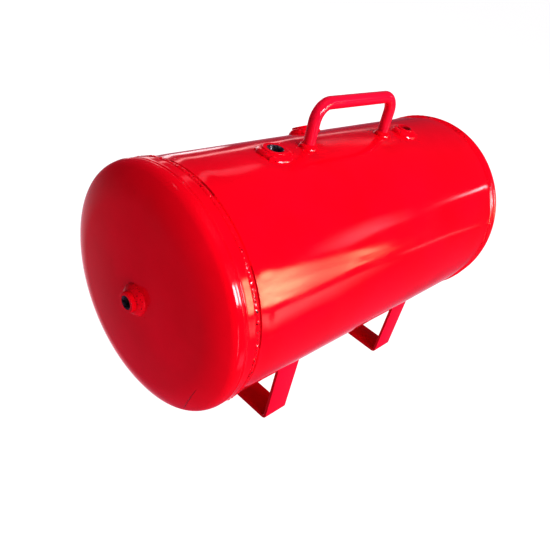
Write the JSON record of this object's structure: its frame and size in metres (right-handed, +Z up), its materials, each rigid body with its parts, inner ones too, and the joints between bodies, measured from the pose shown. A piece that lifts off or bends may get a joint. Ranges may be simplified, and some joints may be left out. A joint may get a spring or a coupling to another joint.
{
  "type": "air receiver tank",
  "caption": "Horizontal welded steel air receiver with dished heads, threaded weld-in ports, a bar carry handle on top and bent strap feet, in glossy red enamel.",
  "frame": {"origin": "on the floor, under the middle of the whole length and width", "axes": "+X along the tank, from the head with the port to the plain head; +Y across it, towards the side port; +Z up"},
  "size_m": [0.5397, 0.253, 0.371],
  "materials": {
    "tank_enamel": "gloss",
    "weld_enamel": "gloss",
    "port_enamel": "gloss",
    "bracket_enamel": "gloss",
    "bare_thread": "machined"
  },
  "bodies": {
    "root": {"shell": "tank_enamel", "front_head": "tank_enamel", "rear_head": "tank_enamel", "front_girth_weld": "weld_enamel", "rear_girth_weld": "weld_enamel", "shell_seam_weld": "weld_enamel", "top_front_port_weld": "weld_enamel", "top_rear_port_weld": "weld_enamel", "side_port_weld": "weld_enamel", "drain_port_weld": "weld_enamel", "front_head_port_weld": "weld_enamel", "handle_front_weld": "weld_enamel", "handle_rear_weld": "weld_enamel", "front_foot_left_weld": "weld_enamel", "front_foot_right_weld": "weld_enamel", "rear_foot_left_weld": "weld_enamel", "rear_foot_right_weld": "weld_enamel", "top_front_port": "port_enamel", "top_rear_port": "port_enamel", "side_port": "port_enamel", "drain_port": "port_enamel", "front_head_port": "port_enamel", "carry_handle": "bracket_enamel", "front_foot": "bracket_enamel", "rear_foot": "bracket_enamel"}
  },
  "joints": []
}
